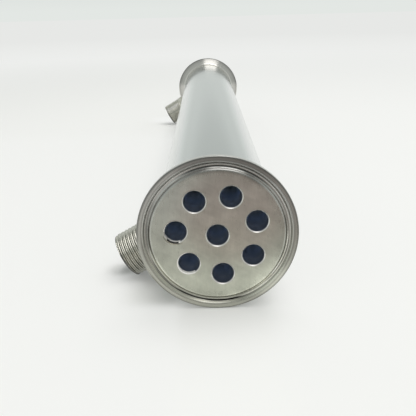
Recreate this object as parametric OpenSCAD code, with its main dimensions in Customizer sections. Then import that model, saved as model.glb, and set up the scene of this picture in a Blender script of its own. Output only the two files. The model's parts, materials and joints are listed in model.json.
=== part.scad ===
// Reflux condenser: a shell-and-tube cooler with clamp ferrules at both ends and
// two threaded coolant ports, lying at rest on its two flange rims and its port tips.
// Each piece is drawn along a local Z axis, from the front face at 0, with the
// ports turned to port_angle, and place() lays it down along +Y.

/* [Shell] */
// Outside diameter of the shell tube
shell_od = 50.8; // [48:0.1:54]
// Wall thickness of the shell tube
shell_wall = 1.5; // [1.2:0.1:2]
// Length from the front gasket face to the rear gasket face
overall_length = 450; // [300:10:600]

/* [Ferrules] */
// Outside diameter of the clamp flange
flange_od = 64; // [62:0.5:66]
// Length of a ferrule from its gasket face to its weld with the shell
ferrule_length = 21.5; // [14:0.5:23]
// Height of the straight rim at the edge of the flange
flange_rim = 2.85; // [2.2:0.05:3.2]
// Slope of the flange's back, which the clamp wedges against
flange_back_slope = 20; // [15:1:25]
// Radius of the fillet between the flange's back and the neck
neck_fillet = 2.4; // [1:0.1:3]
// Rounding of the flange's two outer edges
rim_rounding = 0.45; // [0.2:0.05:0.8]
// Middle diameter of the gasket groove
groove_diameter = 56.5; // [56:0.1:57.5]
// Width of the gasket groove between its rounded lips
groove_width = 2.6; // [2.4:0.1:3]
// Depth of the gasket groove
groove_depth = 1.3; // [0.8:0.1:1.4]
// Radius of both rounded lips of the gasket groove
groove_lip = 1.4; // [0.3:0.1:1.5]

/* [Tube bundle] */
// Number of tubes in the ring around the centre tube
ring_tube_count = 7; // [5:1:7]
// Outside diameter of every tube
tube_od = 10; // [8:0.1:10.5]
// Wall thickness of every tube
tube_wall = 0.6; // [0.5:0.1:1.2]
// Diameter of the circle through the ring tubes' centres
ring_diameter = 33.1; // [32:0.1:34]
// Angle from the ports to the first ring tube
bundle_turn = -16; // [-25:1:25]
// Thickness of the tube sheets
sheet_thickness = 5; // [4:0.5:8]
// Chamfer at the mouth of every tube
tube_mouth_chamfer = 0.4; // [0.1:0.05:0.45]

/* [Coolant ports] */
// Major diameter of the port's pipe thread
port_thread_od = 20.955; // [19:0.005:21.1]
// Length of the threaded end
port_thread_length = 16; // [12:0.5:18]
// Outside diameter of the plain pipe below the thread
port_pipe_od = 21.3; // [21.2:0.1:22]
// Bore of the port
port_bore = 15.5; // [12:0.5:16]
// Distance from the shell's surface to the port's tip
port_height = 22; // [19.5:0.1:30]
// Distance from a gasket face to the middle of the port beside it
port_setback = 36.8; // [36.5:0.1:60]
// Chamfer at the port's tip, outside
port_tip_chamfer = 0.3; // [0.2:0.1:1]
// Chamfer at the port's tip, inside
port_bore_chamfer = 0.5; // [0.3:0.1:1]

/* [Welds] */
// Width of the butt weld between a ferrule and the shell, polished flush
seam_weld_width = 2.4; // [1.6:0.2:3.2]
// Depth of that weld, which leaves a thin root of the wall below it
seam_weld_depth = 1.2; // [0.8:0.1:1.3]
// Leg of the fillet weld around the foot of a port
port_weld_leg = 2.2; // [1.5:0.1:2.6]
// Width of the weld between a tube sheet and its ferrule, ground flush
sheet_weld_width = 1.2; // [0.8:0.1:1.6]
// Depth of that weld
sheet_weld_depth = 0.9; // [0.5:0.1:1.5]
// Leg of the weld between a tube and its sheet, ground flush
tube_weld_leg = 0.4; // [0.25:0.05:0.5]
// Ring tube whose front weld is left open on one side
open_weld_tube = 2; // [1:1:5]
// Angle over which that weld is missing
open_weld_arc = 95; // [40:5:140]
// Depth of the crevice that shows there, between the tube and the sheet
open_weld_depth = 1.5; // [0.5:0.1:3]

/* [Hidden] */
$fn = 128;

shell_r = shell_od / 2;
shell_bore_r = shell_r - shell_wall;
flange_r = flange_od / 2;
groove_r = groove_diameter / 2;
tube_r = tube_od / 2;
tube_bore_r = tube_r - tube_wall;
ring_r = ring_diameter / 2;
port_thread_r = port_thread_od / 2;
port_pipe_r = port_pipe_od / 2;
port_bore_r = port_bore / 2;
port_reach = shell_r + port_height;

// The groove's bottom is a circle, and so is each lip. They are let into each other and
// into the face by groove_bite, so that they cross instead of only touching.
groove_bite = 0.015;
groove_bottom_r = (pow(groove_width / 2, 2) + pow(groove_depth, 2)) / (2 * groove_depth);
groove_bottom_z = groove_depth - groove_bottom_r;
groove_lip_z = groove_lip - groove_bite;
groove_lip_reach = groove_bottom_r + groove_lip - groove_bite;
groove_lip_x = sqrt(pow(groove_lip_reach, 2) - pow(groove_lip_z - groove_bottom_z, 2));
// A point in the overlap of the bottom's circle and the lip's.
groove_turn = [0, groove_bottom_z]
    + [groove_lip_x, groove_lip_z - groove_bottom_z]
        * (groove_bottom_r - groove_bite / 2) / groove_lip_reach;

// The body rolls until the edge behind each port's tip chamfer lies level with the rims.
port_edge_reach = port_reach - port_tip_chamfer;
rest_lean = asin(flange_r / norm([port_edge_reach, port_thread_r]))
    - atan(port_thread_r / port_edge_reach);
port_angle = 180 - rest_lean;

// The open stretch of weld ends this far round its tube from the ring's outward side.
open_weld_end = -26;

// The faceted weld's corners stand off just enough that its flats clear the round walls.
port_weld_steps = 72;
port_weld_arc_steps = 4;
port_weld_root = port_pipe_r / cos(180 / port_weld_steps) - port_pipe_r;
port_weld_floor = norm([shell_r, port_pipe_r * sin(180 / port_weld_steps)]);

// How far a cutting solid runs past the surface that it cuts.
cut_over = 1;

function ring_tube_name(i) = str("ring_tube_", i);
function ring_tube_angle(i) = port_angle + bundle_turn + (i - 1) * 360 / ring_tube_count;

module place() {
    rotate([-90, 0, 0]) children();
}

// Draws its children once as they are, at the front, and mirrored for the rear end.
module at_end(rear) {
    if (rear) translate([0, 0, overall_length]) mirror([0, 0, 1]) children();
    else children();
}

// Turns a shape drawn along Z into one that points out of the shell at a port.
module along_port() {
    rotate([0, 0, port_angle]) translate([0, 0, port_setback]) rotate([0, 90, 0]) children();
}

module at_ring_tube(i) {
    rotate([0, 0, ring_tube_angle(i)]) translate([ring_r, 0, 0]) children();
}

// Puts its children at the centre tube and at every ring tube.
module at_every_tube() {
    children();
    for (i = [1:ring_tube_count]) at_ring_tube(i) children();
}

// --- Shell ---

module shell() {
    color("gainsboro") place() difference() {
        translate([0, 0, ferrule_length])
            cylinder(r = shell_r, h = overall_length - 2 * ferrule_length);
        translate([0, 0, ferrule_length - cut_over])
            cylinder(r = shell_bore_r, h = overall_length - 2 * (ferrule_length - cut_over));
        for (rear = [false, true]) at_end(rear) {
            rotate_extrude() seam_weld_section();
            along_port() cylinder(r = port_bore_r, h = shell_r + cut_over);
        }
    }
}

// --- Ferrules ---

// Section of the flange and neck, with the rim's edges rounded by two circles.
module ferrule_section() {
    back_rise = tan(flange_back_slope);
    cone_end = flange_rim + (flange_r - shell_r) * back_rise;
    rim_in = flange_r - rim_rounding;
    // Where the rounded back edge meets the cone at a tangent.
    edge_up = rim_rounding * tan(45 - flange_back_slope / 2);
    difference() {
        union() {
            polygon([
                [shell_bore_r, 0],
                [rim_in, 0],
                [flange_r, rim_rounding],
                [flange_r, flange_rim - edge_up],
                [rim_in + rim_rounding * sin(flange_back_slope),
                    flange_rim - edge_up + rim_rounding * cos(flange_back_slope)],
                [shell_r, cone_end],
                [shell_r, ferrule_length],
                [shell_bore_r, ferrule_length]
            ]);
            for (z = [rim_rounding, flange_rim - edge_up])
                translate([rim_in, z]) circle(r = rim_rounding);
            neck_fillet_section(cone_end);
        }
        groove_section();
    }
}

// Fills the corner between the sloped back and the neck, hollowed by a circle
// that touches both.
module neck_fillet_section(corner_z) {
    corner_angle = 90 + flange_back_slope;
    reach = neck_fillet / tan(corner_angle / 2);
    difference() {
        polygon([
            [shell_r, corner_z],
            [shell_r + reach * cos(flange_back_slope), corner_z - reach * sin(flange_back_slope)],
            [shell_r, corner_z + reach]
        ]);
        translate([shell_r + neck_fillet, corner_z + reach]) circle(r = neck_fillet);
    }
}

// A round-bottomed groove, cut straight across its lips and then left full where
// two circles round them.
module groove_section() {
    translate([groove_r, 0]) difference() {
        union() {
            translate([0, groove_bottom_z]) circle(r = groove_bottom_r);
            polygon([
                [-groove_lip_x, -cut_over],
                [-groove_lip_x, 0],
                [-groove_turn[0], groove_turn[1]],
                [groove_turn[0], groove_turn[1]],
                [groove_lip_x, 0],
                [groove_lip_x, -cut_over]
            ]);
        }
        for (side = [-1, 1]) translate([side * groove_lip_x, groove_lip_z]) circle(r = groove_lip);
    }
}

module ferrule(rear) {
    color("silver") place() at_end(rear) difference() {
        rotate_extrude() ferrule_section();
        rotate_extrude() sheet_weld_section();
        rotate_extrude() seam_weld_section();
    }
}

// --- Tube sheets and tubes ---

module tube_sheet(rear) {
    color("silver") place() at_end(rear) difference() {
        cylinder(r = shell_bore_r, h = sheet_thickness);
        rotate_extrude() sheet_weld_section();
        at_every_tube() {
            translate([0, 0, -cut_over]) cylinder(r = tube_r, h = sheet_thickness + 2 * cut_over);
            cylinder(r1 = tube_r + tube_weld_leg, r2 = tube_r, h = tube_weld_leg);
        }
        if (!rear) at_ring_tube(open_weld_tube) open_weld_crevice();
    }
}

module open_weld_crevice() {
    rotate([0, 0, open_weld_end - open_weld_arc])
        rotate_extrude(angle = open_weld_arc) translate([tube_r, 0])
            square([tube_weld_leg, open_weld_depth]);
}

// One tube on the local Z axis, open at both ends, with its mouths chamfered.
module plain_tube() {
    difference() {
        cylinder(r = tube_r, h = overall_length);
        translate([0, 0, -cut_over]) cylinder(r = tube_bore_r, h = overall_length + 2 * cut_over);
        for (rear = [false, true]) at_end(rear)
            cylinder(r1 = tube_bore_r + tube_mouth_chamfer, r2 = tube_bore_r, h = tube_mouth_chamfer);
    }
}

module center_tube() {
    color("silver") place() plain_tube();
}

module ring_tube(i) {
    color("silver") place() at_ring_tube(i) plain_tube();
}

// --- Coolant ports ---

// A pipe stub that sits on the shell, with its threaded end at the thread's crest.
module port(rear) {
    thread_start = port_reach - port_thread_length;
    color("darkgray") place() at_end(rear) difference() {
        along_port() difference() {
            rotate_extrude() polygon([
                [0, shell_bore_r],
                [port_pipe_r, shell_bore_r],
                [port_pipe_r, thread_start - (port_pipe_r - port_thread_r)],
                [port_thread_r, thread_start],
                [port_thread_r, port_reach - port_tip_chamfer],
                [port_thread_r - port_tip_chamfer, port_reach],
                [0, port_reach]
            ]);
            cylinder(r = port_bore_r, h = port_reach + cut_over);
            translate([0, 0, port_reach - port_bore_chamfer]) cylinder(
                r1 = port_bore_r, r2 = port_bore_r + port_bore_chamfer, h = port_bore_chamfer);
        }
        cylinder(r = shell_r, h = 2 * port_setback);
    }
}

// --- Welds ---

// Vee of the butt weld, across the joint of the ferrule and the shell.
module seam_weld_section() {
    polygon([
        [shell_r, ferrule_length - seam_weld_width / 2],
        [shell_r, ferrule_length + seam_weld_width / 2],
        [shell_r - seam_weld_depth, ferrule_length]
    ]);
}

module seam_weld(rear) {
    color("gainsboro") place() at_end(rear) rotate_extrude() seam_weld_section();
}

// Point on the shell at one turn around the port, spread beyond the pipe's wall.
function saddle_point(turn, spread) =
    let (
        r = port_pipe_r + port_weld_root + spread,
        across = r * cos(turn),
        along = r * sin(turn)
    )
    [sqrt(port_weld_floor * port_weld_floor - across * across), across, along];

// Fillet section at one turn: its root in the corner, then an arc from the leg
// on the shell up to the leg on the pipe.
function port_weld_ring(turn) = concat(
    [saddle_point(turn, 0)],
    [for (k = [0:port_weld_arc_steps])
        let (
            a = 90 * k / port_weld_arc_steps,
            out = port_weld_leg * (1 - sin(a)) * (1 + sin(2 * a) / 4),
            up = port_weld_leg * (1 - cos(a)) * (1 + sin(2 * a) / 4)
        )
        saddle_point(turn, out) + [up, 0, 0]]
);

module port_weld(rear) {
    sides = port_weld_arc_steps + 2;
    points = [for (i = [0:port_weld_steps - 1]) each port_weld_ring(i * 360 / port_weld_steps)];
    faces = [for (i = [0:port_weld_steps - 1], j = [0:sides - 1])
        let (next = (i + 1) % port_weld_steps, up = (j + 1) % sides)
        [i * sides + j, next * sides + j, next * sides + up, i * sides + up]];
    color("darkgray") place() at_end(rear) rotate([0, 0, port_angle])
        translate([0, 0, port_setback]) polyhedron(points, faces, convexity = 4);
}

// Triangular section of the weld that seals a tube sheet into its ferrule.
module sheet_weld_section() {
    polygon([
        [shell_bore_r - sheet_weld_width / 2, 0],
        [shell_bore_r + sheet_weld_width / 2, 0],
        [shell_bore_r, sheet_weld_depth]
    ]);
}

module sheet_weld(rear) {
    color("silver") place() at_end(rear) rotate_extrude() sheet_weld_section();
}

// Weld ring around a tube's mouth, filling the countersink in its sheet.
module tube_weld(arc = 360) {
    rotate_extrude(angle = arc) polygon([
        [tube_r, 0],
        [tube_r + tube_weld_leg, 0],
        [tube_r, tube_weld_leg]
    ]);
}

module tube_welds(rear) {
    color("silver") place() at_end(rear) {
        tube_weld();
        for (i = [1:ring_tube_count]) at_ring_tube(i)
            if (i == open_weld_tube && !rear)
                rotate([0, 0, open_weld_end]) tube_weld(360 - open_weld_arc);
            else tube_weld();
    }
}

shell();
ferrule(false);  // front_ferrule
ferrule(true);  // rear_ferrule
tube_sheet(false);  // front_tube_sheet
tube_sheet(true);  // rear_tube_sheet
port(false);  // front_port
port(true);  // rear_port
center_tube();
for (i = [1:ring_tube_count])
    ring_tube(i);
seam_weld(false);  // front_seam_weld
seam_weld(true);  // rear_seam_weld
port_weld(false);  // front_port_weld
port_weld(true);  // rear_port_weld
sheet_weld(false);  // front_sheet_weld
sheet_weld(true);  // rear_sheet_weld
tube_welds(false);  // front_tube_welds
tube_welds(true);  // rear_tube_welds
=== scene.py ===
import json
import math

import bpy
import numpy as np
from mathutils import Matrix, Vector


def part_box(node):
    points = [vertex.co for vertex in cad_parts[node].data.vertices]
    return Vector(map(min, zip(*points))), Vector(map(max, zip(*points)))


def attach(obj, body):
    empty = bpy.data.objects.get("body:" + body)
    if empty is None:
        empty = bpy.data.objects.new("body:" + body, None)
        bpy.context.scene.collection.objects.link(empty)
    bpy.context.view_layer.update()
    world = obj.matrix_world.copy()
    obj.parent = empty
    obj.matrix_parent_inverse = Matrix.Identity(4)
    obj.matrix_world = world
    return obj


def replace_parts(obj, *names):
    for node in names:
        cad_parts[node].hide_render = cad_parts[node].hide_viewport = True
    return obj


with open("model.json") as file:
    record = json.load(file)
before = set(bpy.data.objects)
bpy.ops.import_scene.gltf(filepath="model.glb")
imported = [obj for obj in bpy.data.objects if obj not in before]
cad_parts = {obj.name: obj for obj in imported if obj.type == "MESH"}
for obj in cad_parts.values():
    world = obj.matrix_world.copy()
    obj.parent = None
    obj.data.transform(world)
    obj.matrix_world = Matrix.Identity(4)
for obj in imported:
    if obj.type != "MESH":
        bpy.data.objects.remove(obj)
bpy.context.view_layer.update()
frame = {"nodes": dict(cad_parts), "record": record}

cad = frame["nodes"]
mounts = {m["name"]: m for m in frame["record"]["mounts"]}
MM = 0.001

# --- Sizes, in metres ---

# Read from the frame.
shell_low, shell_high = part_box("shell")
SHELL_R = (shell_high.x - shell_low.x) / 2
FRONT_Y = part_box("front_ferrule")[0].y
REAR_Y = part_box("rear_ferrule")[1].y
FLANGE_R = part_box("front_ferrule")[1].z
FLOOR_Z = -FLANGE_R

# The same as in the part's source.
SHELL_WALL = 1.5 * MM
PORT_PIPE_R = 10.65 * MM
PORT_BORE_R = 7.75 * MM
PORT_TIP_CHAMFER = 0.3 * MM
PORT_MOUTH_CHAMFER = 0.5 * MM
THREAD_LENGTH = 16.0 * MM
BEAD_LEG = 2.2 * MM

# Of the thread's helix, which is cut only here.
THREAD_PITCH = 1.814 * MM
THREAD_DEPTH = 0.9 * MM

# Stretches round ring tube 2, in front: direction of the middle and width, in degrees.
OPEN_WELD = (246.0, 95.0)
# Where a painted black shadow lies in the gap of the open weld.
GAP_SHADOW_STRETCH = (252.0, 64.0)
# Where the lip of ring tube 2 is darker.
DARKER_LIP = (200.0, 44.0)

# --- Colours ---

# Of bare steel, each on the dark and on the light side of its grain.
BRUSHED = (0.38, 0.375, 0.33), (0.54, 0.535, 0.475)
TURNED = (0.38, 0.38, 0.355), (0.56, 0.56, 0.53)
TURNED_BACK = (0.46, 0.455, 0.43), (0.60, 0.595, 0.57)
TUBE_END = (0.46, 0.455, 0.40), (0.60, 0.59, 0.53)
THREAD = (0.50, 0.49, 0.435), (0.64, 0.63, 0.57)
# Of a tube's mouth, where it doesn't look up and where it does: painted light and shade by the way it
# faces.
TUBE_MOUTH = (0.98, 0.97, 0.92), (0.80, 0.79, 0.765)
# Of a tube's bore, from its mouth inwards: painted bluish light, paler deeper in, where less light
# reaches.
BORE_START, BORE_MIDDLE, BORE_END = (0.06, 0.075, 0.11), (0.55, 0.66, 0.87), (0.84, 0.92, 1.0)
STRAW, BLUE = (0.60, 0.52, 0.40), (0.42, 0.46, 0.55)
BEAD = (0.66, 0.65, 0.63)
# Painted black shadow in the gap of the open weld.
GAP_SHADOW = (0.012, 0.011, 0.01)
# Painted light: a pale dull colour that fills the crevice's shade.
CREVICE_FILL_LIGHT = (0.9, 0.87, 0.78)

# --- How the steel shines: painted light and shade ---

# These lists were chosen for the light set below. They paint its highlights, reflections and shade into
# the steel's colour, by place on the object, so under other light the steel keeps that pattern.

# Turned rings of a flange, with painted reflections, highlights and shade: pairs of a radius, in mm,
# and brightness there.
RINGS_AT_SIDES = [
    (26.2, 1.0), (26.6, 1.0), (26.9, 0.62), (27.1, 0.62), (27.4, 1.1), (27.8, 1.0), (28.15, 0.8),
    (28.5, 1.3), (28.75, 1.25), (28.95, 0.6), (29.1, 0.62), (29.35, 1.1), (29.75, 1.0), (30.0, 0.62),
    (30.4, 0.78), (31.0, 1.0), (31.3, 0.75), (31.6, 0.5), (31.9, 0.5), (32.0, 0.7)]
RINGS_ON_TOP = [
    (25.0, 1.0), (25.9, 0.76), (26.3, 0.58), (26.5, 0.5), (26.75, 0.45), (27.0, 0.62), (27.2, 0.85),
    (27.42, 0.6), (27.65, 0.24), (27.95, 0.08), (28.08, 0.22), (28.25, 0.8), (28.57, 1.05),
    (28.85, 0.46), (28.95, 0.46), (29.2, 1.4), (29.4, 1.4), (29.7, 0.95), (29.95, 0.48), (30.3, 0.5),
    (30.7, 0.64), (31.0, 0.68), (31.3, 0.55), (31.6, 0.34), (31.85, 0.5), (32.0, 1.5)]
RINGS_BELOW = [
    (26.0, 1.0), (26.25, 1.15), (26.6, 1.55), (26.9, 1.65), (27.3, 1.5), (27.7, 1.5), (28.1, 0.95),
    (28.35, 0.9), (28.5, 0.3), (28.6, 0.1), (28.92, 0.1), (29.04, 0.3), (29.2, 0.95), (29.4, 1.15),
    (29.8, 1.08), (30.1, 1.0), (31.0, 1.02), (31.3, 1.0), (31.6, 0.65), (31.9, 0.5), (32.0, 0.7)]
RINGS_OF_BACK = [
    (24.0, 1.6), (25.6, 1.6), (26.6, 1.25), (27.4, 1.05), (29.0, 1.03), (30.2, 0.84), (31.1, 0.78),
    (31.5, 0.42), (32.0, 0.38)]
# Stretches round a flange with their own painted light and shade: direction, and half-widths where a
# change starts and is full, in degrees.
GROOVE_ON_TOP = (84, 46, 25)
GROOVE_BELOW = (245, 50, 35)
RIM_ON_TOP = (90, 75, 35)
# Stretches of the rings with a painted glint (1) or painted shade (-1), each with pairs of a radius, in
# mm, and the change there.
RING_GLINTS_AND_SHADE = [
    (81, 20, 12, 1, [(26.55, 0), (26.8, 0.4), (27.35, 0.6), (27.6, 0)]),
    (172, 28, 14, -1, [(26.9, 0), (27.3, 0.35), (28.5, 0.5), (29.0, 0)]),
    (38, 28, 10, 1, [(26.6, 0), (26.9, 0.5), (27.4, 0.35), (27.7, 0)]),
    (315, 40, 26, -1, [(27.85, 0), (28.0, 0.42), (28.1, 0.3), (28.2, 0)]),
    (324, 22, 10, -1, [(26.6, 0), (26.85, 0.25), (27.2, 0.35), (27.4, 0)]),
    (335, 25, 15, -1, [(28.1, 0), (28.2, 0.55), (28.4, 0.55), (28.55, 0)]),
    (340, 24, 12, 1, [(27.3, 0), (27.5, 0.7), (27.85, 1.1), (27.95, 0)]),
    (300, 15, 8, 1, [(28.2, 0), (28.4, 0.2), (28.7, 0.4), (28.85, 0)]),
    (277, 20, 10, -1, [(28.4, 0), (28.8, 0.3), (29.6, 0.25), (30.2, 0)]),
    (210, 22, 12, 1, [(27.1, 0), (27.4, 0.6), (27.75, 0.5), (27.95, 0)]),
    (219, 20, 10, 1, [(28.25, 0), (28.4, 0.2), (28.6, 0.9), (28.8, 0)]),
    (142, 34, 20, 1, [(26.8, 0), (27.2, 0.25), (28.2, 0.15), (28.6, 0)]),
    (152, 36, 22, 1, [(29.1, 0), (29.4, 0.16), (30.8, 0.16), (31.3, 0)]),
    (197, 18, 9, 1, [(31.0, 0), (31.3, 0.35), (31.6, 0.35), (31.9, 0)]),
    (298, 22, 12, 1, [(25.6, 0), (26.0, 0.15), (26.5, 0.4), (26.75, 0)]),
    (306, 26, 12, 1, [(27.1, 0), (27.3, 0.25), (27.7, 0.25), (27.95, 0)]),
    (311, 24, 12, 1, [(29.2, 0), (29.5, 0.25), (29.9, 0.4), (30.2, 0.2), (30.5, 0)])]
# Patches of painted reflection on a face, brighter or darker: X and Z of the middle and radius, in mm,
# and brightness.
REFLECTION_PATCHES = [
    (23, -20, 13, 1.45), (-17, 9, 12, 1.25), (-14, -5, 9, 1.22), (-2, -9, 8, 0.87), (4, -22, 9, 1.25),
    (-12, -17, 9, 1.18), (10, 10, 20, 1.2), (-12, 22, 10, 1.2), (14, -19, 8, 1.15), (-4, 5, 6, 1.13),
    (10, 1, 8, 0.89), (-5, -22, 6, 1.15)]
# Painted highlights and shade of a port's thread, by the height over its crest, in mm, by how far its
# surface looks up, and by how far it looks to the port's tip.
THREAD_BY_RISE = [
    (-1.4, 1.0), (-0.9, 1.35), (-0.75, 1.25), (-0.6, 0.95), (-0.22, 0.95), (-0.12, 1.1), (0, 1.2),
    (0.4, 1.0)]
THREAD_BY_SLOPE = [
    (-1, 0.8), (0.1, 0.8), (0.35, 0.85), (0.5, 0.9), (0.62, 0.98), (0.72, 1.06), (0.85, 0.88), (1.0, 0.66)]
THREAD_BY_FLANK = [(-0.6, 1.5), (-0.25, 1.0), (0.2, 1.0), (0.5, 0.5)]


# --- Node trees ---

class Nodes:
    """Short ways to add nodes to a tree and to combine their sockets."""

    def __init__(self, tree):
        self.tree = tree

    def add(self, kind, settings=None, **inputs):
        node = self.tree.nodes.new(kind)
        for key, value in (settings or {}).items():
            setattr(node, key, value)
        for key, value in inputs.items():
            self.feed(node.inputs[key.replace("_", " ")], value)
        return node

    def feed(self, socket, value):
        if isinstance(value, bpy.types.NodeSocket):
            self.tree.links.new(value, socket)
        else:
            socket.default_value = value

    def math(self, operation, *values):
        node = self.add("ShaderNodeMath", {"operation": operation})
        for socket, value in zip(node.inputs, values):
            self.feed(socket, value)
        return node.outputs[0]

    def product(self, first, *others):
        for other in others:
            first = self.math("MULTIPLY", first, other)
        return first

    def total(self, first, *others):
        for other in others:
            first = self.math("ADD", first, other)
        return first

    def opposite(self, share):
        return self.math("SUBTRACT", 1.0, share)

    def between(self, share, low, high):
        """A share from 0 to 1 turned into a number from low to high."""
        return self.math("MULTIPLY_ADD", share, high - low, low)

    def ramp(self, value, low, high):
        """0 at low and 1 at high, smooth in between. Low may be the larger of the two."""
        node = self.add("ShaderNodeMapRange", {"interpolation_type": "SMOOTHSTEP"}, Value=value)
        node.inputs["From Min"].default_value = low
        node.inputs["From Max"].default_value = high
        return node.outputs["Result"]

    def gradient(self, value, stops):
        """A colour that follows stops, pairs of a value from 0 to 1 and its colour."""
        node = self.add("ShaderNodeValToRGB", Fac=value)
        elements = node.color_ramp.elements
        while len(elements) < len(stops):
            elements.new(0.5)
        for element, (at, colour) in zip(elements, stops):
            element.position = at
            element.color = (*colour, 1)
        return node.outputs[0]

    def levels(self, value, low, high, stops):
        """A number that follows stops, pairs of a value from low to high and its level."""
        share = self.math("DIVIDE", self.math("SUBTRACT", value, low), high - low)
        grey = self.gradient(share, [((at - low) / (high - low), (level,) * 3) for at, level in stops])
        return self.add("ShaderNodeSeparateColor", Color=grey).outputs[0]

    def join(self, x, y, z):
        """A vector, or a colour, from three numbers."""
        return self.add("ShaderNodeCombineXYZ", X=x, Y=y, Z=z).outputs[0]

    def length(self, across, up):
        """Length of a flat vector."""
        return self.math("SQRT", self.total(self.product(across, across), self.product(up, up)))

    def split(self, vector):
        """X, Y and Z of a vector."""
        return tuple(self.add("ShaderNodeSeparateXYZ", Vector=vector).outputs)

    def mix(self, share, first, second):
        """Two numbers mixed by a share."""
        node = self.add("ShaderNodeMix", {"data_type": "FLOAT"})
        for socket, value in zip((node.inputs[0], node.inputs[2], node.inputs[3]), (share, first, second)):
            self.feed(socket, value)
        return node.outputs[0]

    def colour_mix(self, share, first, second):
        """Two colours mixed by a share."""
        node = self.add("ShaderNodeMix", {"data_type": "RGBA"})
        self.feed(node.inputs[0], share)
        for socket, colour in ((node.inputs[6], first), (node.inputs[7], second)):
            self.feed(socket, (*colour, 1) if isinstance(colour, tuple) else colour)
        return node.outputs[2]

    def tinted(self, share, colour):
        """A colour times a share, or times a share of each of red, green and blue."""
        red, green, blue = share if isinstance(share, tuple) else (share, share, share)
        node = self.add("ShaderNodeMix", {"data_type": "RGBA", "blend_type": "MULTIPLY"})
        node.inputs[0].default_value = 1.0
        self.feed(node.inputs[6], colour)
        self.feed(node.inputs[7], self.join(red, green, blue))
        return node.outputs[2]


class Material(Nodes):
    """A material's tree, metal unless told otherwise, with places in the shared frame."""

    def __init__(self, name, colour, roughness, metallic=1.0):
        self.material = bpy.data.materials.new(name)
        self.material.use_nodes = True
        super().__init__(self.material.node_tree)
        self.shader = self.tree.nodes["Principled BSDF"]
        self.shader.inputs["Metallic"].default_value = metallic
        self.set("Base Color", (*colour, 1))
        self.set("Roughness", roughness)
        self.place = self.add("ShaderNodeTexCoord").outputs["Object"]
        self.x, self.y, self.z = self.split(self.place)

    def set(self, name, value):
        self.feed(self.shader.inputs[name], value)

    def blend_surface(self, share, first, second):
        """What a ray meets: one shader, and by a share another."""
        blend = self.add("ShaderNodeMixShader", Fac=share)
        self.feed(blend.inputs[1], first)
        self.feed(blend.inputs[2], second)
        self.feed(self.tree.nodes["Material Output"].inputs["Surface"], blend.outputs[0])

    def normal(self):
        return self.add("ShaderNodeTexCoord").outputs["Normal"]

    def along(self, x, z):
        """Distance along a direction across the shell, given by its X and Z."""
        return self.total(self.product(self.x, x), self.product(self.z, z))

    def distance(self, x, z):
        """Distance from the line along Y at x and z."""
        return self.length(self.math("SUBTRACT", self.x, x), self.math("SUBTRACT", self.z, z))

    def radius(self):
        """Distance from the shell's axis."""
        return self.length(self.x, self.z)

    def depth(self):
        """Distance behind the nearer end face."""
        from_front = self.math("SUBTRACT", self.y, FRONT_Y)
        from_rear = self.math("SUBTRACT", REAR_Y, self.y)
        return self.math("MINIMUM", from_front, from_rear)

    def facing(self, degrees, edge, full, x=None, z=None):
        """1 within full degrees of a direction round the shell's axis, or round the middle that x
        and z are taken from, and 0 beyond edge degrees."""
        x, z = x or self.x, z or self.z
        aim = math.radians(degrees)
        reach = self.total(self.product(x, math.cos(aim)), self.product(z, math.sin(aim)))
        cosine = self.math("DIVIDE", reach, self.length(x, z))
        return self.ramp(cosine, math.cos(math.radians(edge)), math.cos(math.radians(full)))

    def noise(self, place, per_metre, detail):
        """Noise over a place, with its own count of grains a metre along each axis."""
        scaled = self.add("ShaderNodeVectorMath", {"operation": "MULTIPLY"})
        self.feed(scaled.inputs[0], place)
        scaled.inputs[1].default_value = per_metre
        return self.add("ShaderNodeTexNoise", Vector=scaled.outputs[0], Scale=1.0,
                        Detail=detail, Roughness=0.6).outputs["Fac"]

    def bump(self, height, depth):
        node = self.add("ShaderNodeBump", Height=height, Distance=depth, Strength=1.0)
        self.set("Normal", node.outputs["Normal"])


# --- Materials ---

def polished_shell():
    """Mirror-polished tube, with faint polishing lines along it and a slight unevenness."""
    t = Material("polished_shell", (0.62, 0.65, 0.642), 0.14)
    lines = t.noise(t.place, (3500, 25, 3500), 3)
    clouds = t.noise(t.place, (60, 25, 60), 3)
    t.set("Roughness", t.total(t.between(lines, 0.07, 0.15), t.between(clouds, -0.02, 0.05)))
    t.bump(lines, 0.002 * MM)
    return t.material


def ring_level(t, radius, rings):
    """Brightness at a radius, from pairs of a radius in mm and its brightness."""
    inner, outer = 24 * MM, 32 * MM
    return t.levels(radius, inner, outer, [(at * MM, level) for at, level in rings])


def ring_light_and_shade(t):
    """Painted reflections, highlights and shade of the turned rings. The groove shows another side on top
    and below, and what it shows below lies further in towards the sides."""
    lean = 0.55 * MM
    darkest = 0.02
    radius = t.radius()
    rising = t.math("MULTIPLY_ADD", t.math("DIVIDE", t.z, radius), lean, lean)
    sides = ring_level(t, radius, RINGS_AT_SIDES)
    top = ring_level(t, radius, RINGS_ON_TOP)
    below = ring_level(t, t.total(radius, rising), RINGS_BELOW)
    level = t.mix(t.facing(*GROOVE_BELOW), t.mix(t.facing(*GROOVE_ON_TOP), sides, top), below)
    for direction, edge, full, sign, rings in RING_GLINTS_AND_SHADE:
        change = t.product(ring_level(t, radius, rings), t.facing(direction, edge, full))
        level = t.math("MULTIPLY_ADD", change, sign, level)
    return t.math("MAXIMUM", level, darkest)


def reflection_patches(t):
    """How a face's painted reflections vary from patch to patch."""
    core = 0.1
    tone = 1.0
    for x, z, radius, brightness in REFLECTION_PATCHES:
        share = t.ramp(t.distance(x * MM, z * MM), radius * MM, core * radius * MM)
        tone = t.product(tone, t.between(share, 1.0, brightness))
    return tone


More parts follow.
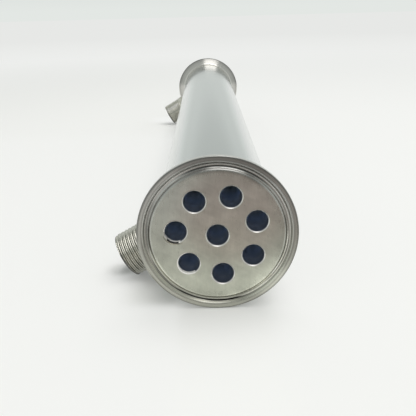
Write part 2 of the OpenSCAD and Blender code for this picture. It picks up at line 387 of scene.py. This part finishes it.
def brushed_steel(t):
    """Grain and colour of a face brushed up and down, with stains and slanting wipe marks, and painted
    reflections: brighter and darker patches, warmer round its middle and yellower below."""
    fine = t.noise(t.place, (5200, 300, 260), 3)
    broad = t.noise(t.place, (900, 300, 60), 2)
    grain = t.mix(0.35, fine, broad)
    stains = t.between(t.ramp(t.noise(t.place, (150, 60, 150), 3), 0.3, 0.7), 0.94, 1.10)
    slanting = t.join(t.along(0.87, -0.5), 0.0, t.along(0.5, 0.87))
    wiped = t.between(t.ramp(t.noise(slanting, (70, 1, 420), 3), 0.35, 0.7), 0.96, 1.05)
    # Painted reflection tints: warmer round the middle, and yellower below.
    red = t.between(t.ramp(t.distance(6 * MM, 8 * MM), 26 * MM, 12 * MM), 0.965, 1.04)
    blue = t.between(t.ramp(t.z, -20 * MM, 20 * MM), 0.955, 1.045)
    colour = t.tinted((red, 1.0, blue), t.colour_mix(grain, *BRUSHED))
    return grain, t.tinted(t.product(reflection_patches(t), t.product(stains, wiped)), colour)


def turned_face(t, grain):
    """Colour of a flange's face outside the brushed part, with painted reflections: brighter and darker
    patches, and yellower below.
    """
    # Painted reflection tint, yellower below.
    blue = t.between(t.ramp(t.z, -20 * MM, 20 * MM), 0.935, 1.02)
    return t.tinted(reflection_patches(t), t.tinted((1.0, 1.0, blue), t.colour_mix(grain, *TURNED)))


def turned_back(t, grain):
    """Colour of a flange's rim, back and neck, with painted highlights and shade by radius. The front
    one's rim has a painted highlight on top, and both have a painted highlight low down."""
    radius = t.radius()
    level = ring_level(t, radius, RINGS_OF_BACK)
    front_rim = t.product(t.ramp(radius, 31.5 * MM, 31.8 * MM), t.ramp(t.y, 6 * MM, 5 * MM))
    level = t.mix(t.product(front_rim, t.facing(*RIM_ON_TOP)), level, 1.5)
    low_rim = t.product(t.ramp(radius, 30.8 * MM, 31.4 * MM), t.ramp(t.z, 9 * MM, -1 * MM))
    level = t.math("MAXIMUM", level, t.product(low_rim, 1.3))
    return t.tinted(level, t.colour_mix(grain, *TURNED_BACK))


def ferrule_metal():
    """A ferrule: its face is brushed with the tube sheet, and the rest is turned and polished. Painted
    reflections, highlights and shade lie in its colour.
    """
    t = Material("ferrule_steel", (0.66, 0.64, 0.62), 0.3)
    radius, depth = t.radius(), t.depth()
    on_face = t.opposite(t.ramp(depth, 0.05 * MM, 0.15 * MM))
    in_front = t.opposite(t.ramp(depth, 1.4 * MM, 1.5 * MM))
    brushed_part = t.product(on_face, t.opposite(t.ramp(radius, 26.8 * MM, 27.0 * MM)))
    brushed_grain, brushed = brushed_steel(t)
    turned_grain = t.noise(t.join(radius, t.y, 0.0), (5200, 5200, 1), 3)
    grain = t.mix(brushed_part, turned_grain, brushed_grain)
    face = t.tinted(ring_light_and_shade(t), t.colour_mix(brushed_part, turned_face(t, grain), brushed))
    t.set("Base Color", t.colour_mix(in_front, turned_back(t, grain), face))
    t.set("Roughness", t.mix(in_front, t.between(grain, 0.12, 0.2), t.between(grain, 0.21, 0.35)))
    t.bump(grain, 0.008 * MM)
    return t.material


def round_tube_2(t, stretch):
    """Distance from the middle of ring tube 2, and a share that is 1 along a stretch round its
    front end."""
    middle, width = stretch
    ends_over = 2
    low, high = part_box("ring_tube_2")
    x = t.math("SUBTRACT", t.x, (low.x + high.x) / 2)
    z = t.math("SUBTRACT", t.z, (low.z + high.z) / 2)
    in_arc = t.facing(middle, width / 2, width / 2 - ends_over, x, z)
    return t.length(x, z), t.product(in_arc, t.math("LESS_THAN", t.y, FRONT_Y + 2 * MM))


def gap_shadow(t):
    """1 on the ragged edge of ring tube 2, where its weld is open, which is painted black as the gap's
    shadow.
    """
    away, in_arc = round_tube_2(t, GAP_SHADOW_STRETCH)
    reach = t.between(t.noise(t.place, (1400, 200, 1400), 2), 4.78 * MM, 5.05 * MM)
    ragged = t.product(t.math("LESS_THAN", away, reach), t.math("LESS_THAN", t.y, FRONT_Y + 0.6 * MM))
    return t.product(ragged, in_arc)


def brushed_face():
    """Tube sheet and flush welds, brushed up and down, with painted ring light and shade, painted light
    that fills the crevice at the open weld, and a painted black shadow at the gap's edge.
    """
    t = Material("brushed_face", (0.66, 0.64, 0.62), 0.32)
    grain, brushed = brushed_steel(t)
    # Behind the face the surface is painted pale and dull, which fills the crevice's shade.
    in_crevice = t.ramp(t.depth(), 0.03 * MM, 0.2 * MM)
    with_crevice_fill = t.colour_mix(in_crevice, t.tinted(ring_light_and_shade(t), brushed), CREVICE_FILL_LIGHT)
    t.set("Base Color", t.colour_mix(gap_shadow(t), with_crevice_fill, GAP_SHADOW))
    t.set("Metallic", t.opposite(in_crevice))
    t.set("Roughness", t.between(grain, 0.22, 0.36))
    t.bump(grain, 0.008 * MM)
    return t.material


def tube_metal():
    """Brushed with the face on its ends, darker along a stretch of one lip, with painted light and shade in
    its mouths, a painted black shadow at the open weld's gap, painted pale light on the bore wall there,
    and painted bluish light down its bore, dark at the mouth and paler deeper in.
    """
    t = Material("tube_steel", (0.6, 0.6, 0.6), 0.3)
    depth = t.depth()
    in_mouth = t.ramp(depth, 0.01 * MM, 0.06 * MM)
    in_open_arc = round_tube_2(t, OPEN_WELD)[1]
    # At the open weld the pale mouth colour reaches deeper into the bore, which is painted light there.
    inside = t.ramp(t.math("SUBTRACT", depth, t.product(in_open_arc, 1.4 * MM)), 0.4 * MM, 0.9 * MM)
    grain = t.noise(t.place, (2500, 120, 2500), 3)
    # The mouth's painted light and shade follow the way it faces, and the open weld's stretch stays paler.
    mouth_facing_up = t.product(t.ramp(t.split(t.normal())[2], 0.15, 0.62), t.between(in_open_arc, 1.0, 0.4))
    mouth = t.colour_mix(mouth_facing_up, *TUBE_MOUTH)
    # The lip of ring tube 2 is darker along one stretch.
    darker_lip = t.product(round_tube_2(t, DARKER_LIP)[1], in_mouth)
    end_and_mouth = t.colour_mix(in_mouth, t.colour_mix(grain, *TUBE_END), mouth)
    lip = t.tinted(t.between(darker_lip, 1.0, 0.45), end_and_mouth)
    bore = t.colour_mix(t.ramp(depth, 1 * MM, 16 * MM), BORE_START, BORE_MIDDLE)
    bore = t.colour_mix(t.ramp(depth, 12 * MM, 26 * MM), bore, BORE_END)
    t.set("Base Color", t.colour_mix(inside, t.colour_mix(gap_shadow(t), lip, GAP_SHADOW), bore))
    # The bore is dull, and so is the mouth at the open weld, where it shows as painted light.
    dull = t.math("MAXIMUM", inside, t.product(in_open_arc, in_mouth))
    t.set("Metallic", t.opposite(dull))
    t.set("Roughness", t.mix(dull, t.mix(in_mouth, 0.3, 0.42), 0.7))
    t.bump(grain, 0.002 * MM)
    return t.material


def thread_by_radius(t, port):
    """Painted highlights and shade by the radius round a port's axis. The rear port's places are mirrored
    onto the front port, which they match."""
    y = t.math("MINIMUM", t.y, t.math("SUBTRACT", FRONT_Y + REAR_Y, t.y))
    sideways = t.along(port["sideways"].x, port["sideways"].z)
    radius = t.length(sideways, t.math("SUBTRACT", port["foot"].y, y))
    stops = [(port["crest"] + rise * MM, level) for rise, level in THREAD_BY_RISE]
    return t.levels(radius, stops[0][0], stops[-1][0], stops)


def thread_by_normal(t, port):
    """Painted light and shade by where the surface looks, with a painted dark lower edge at the tip."""
    normal = t.normal()
    upward = t.split(normal)[2]
    to_tip = t.add("ShaderNodeVectorMath", {"operation": "DOT_PRODUCT"})
    t.feed(to_tip.inputs[0], normal)
    to_tip.inputs[1].default_value = port["outward"]
    by_slope = t.levels(upward, -1, 1, THREAD_BY_SLOPE)
    by_flank = t.levels(to_tip.outputs["Value"], -1, 1, THREAD_BY_FLANK)
    out = t.along(port["outward"].x, port["outward"].z)
    near_tip = t.ramp(out, port["tip"] - 1.5 * MM, port["tip"] - 0.8 * MM)
    tip_edge = t.product(near_tip, t.ramp(upward, 0.62, 0.42))
    return t.product(by_slope, by_flank, t.between(tip_edge, 1.0, 0.25))


def port_metal():
    """Machined thread, with painted highlights on its crests and roots and painted shade on its flanks.
    The rear port is painted brighter.
    """
    t = Material("port_steel", (0.6, 0.585, 0.56), 0.28)
    port = port_frame("front")
    # The rear port is painted brighter.
    at_rear = t.math("GREATER_THAN", t.y, REAR_Y / 2)
    shine = t.product(thread_by_radius(t, port), thread_by_normal(t, port), t.between(at_rear, 1.0, 1.25))
    grain = t.noise(t.place, (1800, 1800, 1800), 3)
    t.set("Base Color", t.tinted(shine, t.colour_mix(grain, *THREAD)))
    t.set("Roughness", t.between(grain, 0.14, 0.26))
    t.bump(grain, 0.003 * MM)
    return t.material


def weld_metal():
    """As-welded bead, with a faint straw and blue tint."""
    t = Material("weld_steel", (0.55, 0.53, 0.5), 0.34)
    tint = t.noise(t.place, (260, 260, 260), 3)
    fine = t.noise(t.place, (2500, 2500, 2500), 2)
    straw_blue = t.colour_mix(t.ramp(tint, 0.35, 0.65), STRAW, BLUE)
    t.set("Base Color", t.colour_mix(t.ramp(fine, 0.3, 0.7), straw_blue, BEAD))
    t.set("Roughness", t.between(fine, 0.28, 0.45))
    t.bump(fine, 0.02 * MM)
    return t.material


# --- Ports ---

def port_frame(end):
    """A port's foot on the shell's axis, its directions outward and sideways (the third is Y), its
    tip's distance from the axis and its thread's crest radius."""
    thread = mounts[f"{end}_port_thread"]
    outward = Vector(thread["axis"]).normalized()
    middle = Vector(thread["pos_m"])
    half_length = thread["dims"]["length_mm"] * MM / 2
    return {
        "foot": Vector((0, middle.y, 0)),
        "outward": outward,
        "sideways": outward.cross(Vector((0, 1, 0))),
        "tip": math.hypot(middle.x, middle.z) + half_length + PORT_TIP_CHAMFER,
        "crest": thread["dims"]["r_mm"] * MM}


def in_port_frame(port, out, across, along):
    """Points in the shared frame from distances out, across and along at a port."""
    points = np.array(port["foot"])
    for distance, direction in ((out, port["outward"]), (across, port["sideways"]), (along, (0, 1, 0))):
        points = points + np.multiply.outer(distance, np.array(direction))
    return points


def cylinder_height(radius, across):
    """How far a cylinder's wall stands from its axis, at a distance across from its crown."""
    return np.sqrt(radius ** 2 - across ** 2)


def ring_piece(name, rows, material):
    """A piece from rings of points, each closed on itself, and the last joined to the first."""
    grid = np.array(rows)
    count, sides = grid.shape[:2]
    row, side = np.meshgrid(np.arange(count), np.arange(sides), indexing="ij")
    after, beside = (row + 1) % count, (side + 1) % sides
    quads = np.stack([row * sides + side, after * sides + side,
                      after * sides + beside, row * sides + beside], -1).reshape(-1, 4)
    mesh = bpy.data.meshes.new(name)
    mesh.from_pydata(grid.reshape(-1, 3).tolist(), [], quads.tolist())
    mesh.shade_smooth()
    mesh.materials.append(material)
    piece = bpy.data.objects.new(name, mesh)
    bpy.context.scene.collection.objects.link(piece)
    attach(piece, "root")
    return piece


def thread_wave(turns):
    """Depth below the crest, from 0 to 1, of a vee thread with flat crests and roots."""
    crest_share, flank_share = 0.14, 0.7
    return np.clip((np.abs((turns % 1.0) * 2 - 1) - crest_share) / flank_share, 0, 1)


def thread_radius(port, turn, out):
    """Radius of a port at a distance out, where its thread grows out of the pipe up to the chamfer
    at its tip."""
    growth_turns, growth_at_start = 1.5, 0.4
    into_thread = out - (port["tip"] - THREAD_LENGTH)
    wave = thread_wave(into_thread / THREAD_PITCH - turn / (2 * np.pi))
    growth = np.clip(into_thread / (growth_turns * THREAD_PITCH) + growth_at_start, 0, 1)
    top = PORT_PIPE_R + (port["crest"] - PORT_PIPE_R) * growth
    chamfer = port["crest"] - PORT_TIP_CHAMFER + (port["tip"] - out)
    return np.minimum(top - THREAD_DEPTH * growth * wave, chamfer)


def threaded_port(end, material):
    """A pipe stub with a helical thread, saddle-cut to the shell and open to its inside."""
    turn_steps, rows_a_pitch = 160, 14
    into_shell, into_bore = 0.2 * MM, 0.02 * MM
    plain_end, first_row = 1.2 * MM, 0.9 * MM
    port = port_frame(end)
    tip = port["tip"]
    thread_start = tip - THREAD_LENGTH
    turn = np.linspace(0, 2 * np.pi, turn_steps, endpoint=False)
    rows = []

    def add_row(radius, out):
        out = out * np.ones(turn_steps)
        rows.append(in_port_frame(port, out, radius * np.cos(turn), radius * np.sin(turn)))

    add_row(PORT_PIPE_R, cylinder_height(SHELL_R, PORT_PIPE_R * np.cos(turn)) - into_shell)
    add_row(PORT_PIPE_R, thread_start - plain_end)
    row_count = int(THREAD_LENGTH / THREAD_PITCH * rows_a_pitch)
    for out in np.linspace(thread_start - first_row, tip, row_count):
        add_row(thread_radius(port, turn, out), out)
    add_row(PORT_BORE_R + PORT_MOUTH_CHAMFER, tip)
    add_row(PORT_BORE_R, tip - PORT_MOUTH_CHAMFER)
    add_row(PORT_BORE_R, cylinder_height(SHELL_R - SHELL_WALL, PORT_BORE_R * np.cos(turn)) + into_bore)
    piece = ring_piece(f"{end}_threaded_port", rows, material)
    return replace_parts(piece, f"{end}_port")


def port_bead(end, material):
    """A fillet bead round a port's foot, laid down in overlapping ripples."""
    ripples, steps_a_ripple, arc_steps = 46, 8, 10
    ripple_height, ripple_shape = 0.10 * MM, 0.7
    into_pipe, into_shell = 0.3 * MM, 0.2 * MM
    port = port_frame(end)
    turn = np.linspace(0, 2 * np.pi, ripples * steps_a_ripple, endpoint=False)
    phase = (turn * ripples / (2 * np.pi)) % 1.0
    ripple = ripple_height * np.sin(np.pi * phase) ** ripple_shape
    rows = []

    def add_row(radius, rise):
        across = radius * np.cos(turn)
        out = cylinder_height(SHELL_R, across) + rise
        rows.append(in_port_frame(port, out, across, radius * np.sin(turn)))

    for k in range(arc_steps + 1):
        a = math.pi / 2 * k / arc_steps
        swell = 1 + math.sin(2 * a) / 4
        lift = ripple * math.sin(2 * a)
        add_row(PORT_PIPE_R + BEAD_LEG * (1 - math.sin(a)) * swell + lift,
                BEAD_LEG * (1 - math.cos(a)) * swell + lift)
    add_row(PORT_PIPE_R - into_pipe, -into_shell)
    piece = ring_piece(f"{end}_port_bead", rows, material)
    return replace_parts(piece, f"{end}_port_weld")


# --- The object ---

def dress(names, material):
    for name in names:
        slots = cad[name].data.materials
        slots.clear()
        slots.append(material)


ENDS = ("front", "rear")
shell_steel = polished_shell()
ferrule_steel = ferrule_metal()
sheet_steel = brushed_face()
tube_steel = tube_metal()
port_steel = port_metal()
weld_steel = weld_metal()

dress(["shell"], shell_steel)
dress([name for name in cad if name == "center_tube" or name.startswith("ring_tube")], tube_steel)
for end in ENDS:
    dress([f"{end}_seam_weld"], shell_steel)
    dress([f"{end}_ferrule"], ferrule_steel)
    dress([f"{end}_tube_sheet", f"{end}_sheet_weld", f"{end}_tube_welds"], sheet_steel)
    dress([f"{end}_port"], port_steel)
    dress([f"{end}_port_weld"], weld_steel)
    threaded_port(end, port_steel)
    port_bead(end, weld_steel)


# --- Floor, dark cloth, world, lights and camera ---

PAPER = (0.85, 0.855, 0.84)
PAPER_GLOW = (0.887, 0.897, 0.88, 1)
FLOOR_HALF = 8.0
# Places on the floor where its glow changes: X, Y and radius, in mm, and the change.
FLOOR_GLOW = [(-27, 18, 19, -0.2), (-46, 41, 10, -0.42), (-38, 23, 8, 0.12), (-44, 436, 30, 0.7)]
# Brightness of the studio by the height of a direction, from 0 at the horizon to 1 straight up.
SKY_AHEAD = [
    (0.0, 0.8), (0.03, 0.76), (0.065, 0.67), (0.10, 0.71), (0.12, 0.72), (0.19, 0.62), (0.4, 0.6),
    (1.0, 0.5)]
SKY_BEHIND = [(0.0, 0.55), (0.2, 0.6), (0.5, 0.6), (0.75, 0.5), (0.9, 0.4), (1.0, 0.4)]


def stage_quad(name, corners, material):
    """A flat four-cornered part of the stage."""
    mesh = bpy.data.meshes.new(name)
    mesh.from_pydata(corners, [], [(0, 1, 2, 3)])
    mesh.materials.append(material)
    plane = bpy.data.objects.new(name, mesh)
    bpy.context.scene.collection.objects.link(plane)
    return plane


def paper(name, colour):
    """A dull material that isn't metal."""
    t = Material(name, colour, 1.0, metallic=0.0)
    t.set("Specular IOR Level", 0.0)
    return t


def near_glow(t):
    """How much of the floor near the object shows the sweep's own brightness instead of shadow."""
    beside_port = t.product(t.ramp(t.x, -36 * MM, -46 * MM), t.ramp(t.y, 100 * MM, 60 * MM))
    before_flange = t.product(t.ramp(t.x, -12 * MM, -20 * MM), t.ramp(t.y, 8 * MM, 1 * MM))
    at_right = t.ramp(t.x, 16 * MM, 28 * MM)
    along_shell = t.levels(t.y, 0, 0.4, [(0.05, 0.0), (0.12, 1.0), (0.33, 1.0), (0.38, 0.0)])
    lighter = t.math("MINIMUM", t.total(beside_port, before_flange, at_right, along_shell), 1.0)
    glow = t.between(lighter, 0.2, 0.5)
    for x, y, radius, change in FLOOR_GLOW:
        off = t.length(t.math("SUBTRACT", t.x, x * MM), t.math("SUBTRACT", t.y, y * MM))
        glow = t.total(glow, t.product(t.ramp(off, radius * MM, 0.3 * radius * MM), change))
    return t.math("MAXIMUM", glow, 0.0)


def floor():
    """Pale paper round the object that runs out into an evenly bright sweep."""
    t = paper("floor_paper", PAPER)
    away = t.length(t.x, t.math("SUBTRACT", t.y, REAR_Y / 2))
    glow = t.mix(t.ramp(away, 0.3, 1.2), near_glow(t), 1.0)
    sweep = t.add("ShaderNodeMapRange", Value=away)
    for name, value in (("From Min", 0.25), ("From Max", 2.2), ("To Min", 1.0), ("To Max", 0.9)):
        sweep.inputs[name].default_value = value
    light = t.add("ShaderNodeEmission", Color=PAPER_GLOW, Strength=sweep.outputs[0])
    ray = t.add("ShaderNodeLightPath").outputs
    reflected = t.math("MAXIMUM", ray["Is Glossy Ray"], ray["Is Transmission Ray"])
    seen = t.math("MAXIMUM", ray["Is Camera Ray"], reflected)
    t.blend_surface(t.product(seen, glow), t.shader.outputs[0], light.outputs[0])
    corners = [(x * FLOOR_HALF, y * FLOOR_HALF, FLOOR_Z) for x, y in ((-1, -1), (1, -1), (1, 1), (-1, 1))]
    stage_quad("floor", corners, t.material)


def dark_flags():
    """Dark brown cloth round the photographer, thinner towards the object and to the left.
    Only reflections in the metal show it."""
    t = paper("dark_cloth", (0.20, 0.155, 0.13))
    near, far, half = FRONT_Y - 0.01, FRONT_Y - 0.5, 0.3
    low, high = FLOOR_Z + 0.001, FLOOR_Z + 0.15
    further = t.ramp(t.y, FRONT_Y - 0.03, FRONT_Y - 0.09)
    thick = t.product(further, t.between(t.ramp(t.x, -0.07, 0.0), 0.15, 0.72))
    clear = t.add("ShaderNodeBsdfTransparent")
    t.blend_surface(thick, clear.outputs[0], t.shader.outputs[0])
    near_edge = [(-half, near, low), (half, near, low)]
    far_edge = [(half, far, low), (-half, far, low)]
    top_edge = [(half, far, high), (-half, far, high)]
    for name, corners in (("flag_flat", near_edge + far_edge), ("flag_upright", far_edge[::-1] + top_edge)):
        flag = stage_quad(name, corners, t.material)
        flag.visible_camera = flag.visible_diffuse = flag.visible_shadow = flag.visible_transmission = False


def studio_world():
    """A plain studio: a pale sweep behind the object and at its sides, and a dimmer room behind
    the camera and above."""
    world = bpy.data.worlds.new("studio")
    bpy.context.scene.world = world
    world.use_nodes = True
    n = Nodes(world.node_tree)
    _, forward, height = n.split(n.add("ShaderNodeTexCoord").outputs["Generated"])
    ahead, behind = (n.gradient(height, [(at, (level * 0.96, level, level * 0.968)) for at, level in sky])
                     for sky in (SKY_AHEAD, SKY_BEHIND))
    colour = n.colour_mix(n.ramp(forward, 0.1, -0.6), ahead, behind)
    n.feed(n.tree.nodes["Background"].inputs["Color"], colour)


def soft_light(name, place, size, radiance, aim, reflected):
    """A soft rectangular light that faces a point, with or without its own reflection."""
    light = bpy.data.lights.new(name, "AREA")
    light.shape = "RECTANGLE"
    light.size, light.size_y = size
    light.energy = radiance * math.pi * light.size * light.size_y
    light.color = (1.0, 0.97, 0.965)
    lamp = bpy.data.objects.new(name, light)
    lamp.location = place
    lamp.rotation_euler = (Vector(aim) - Vector(place)).to_track_quat("-Z", "Y").to_euler()
    lamp.visible_glossy = reflected
    bpy.context.scene.collection.objects.link(lamp)


def camera():
    """The photograph's camera: close in front of the near flange, looking down and a little askew."""
    place = (-0.00352, -0.21564, 0.0848)
    down, roll = math.radians(18.78), math.radians(-1.51)
    data = bpy.data.cameras.new("camera")
    data.sensor_width = 36.0
    data.lens = 51.05
    data.clip_start, data.clip_end = 0.01, 50
    eye = bpy.data.objects.new("camera", data)
    eye.matrix_world = (Matrix.Translation(place) @ Matrix.Rotation(math.pi / 2 - down, 4, "X")
                        @ Matrix.Rotation(roll, 4, "Z"))
    bpy.context.scene.collection.objects.link(eye)
    bpy.context.scene.camera = eye


floor()
dark_flags()
studio_world()
soft_light("ceiling_strip", (0.23, -0.45, 1.2), (0.76, 2.0), 1.5, aim=(0.23, -0.45, 0), reflected=True)
soft_light("window_left", (-0.95, -0.9, 0.85), (0.6, 0.5), 0.85, aim=(0, 0, 0), reflected=False)
soft_light("panel_overhead", (0.35, 0.4, 1.6), (1.3, 1.3), 1.9, aim=(0.35, 0.4, 0), reflected=False)
camera()
bpy.context.scene.view_settings.view_transform = "Standard"
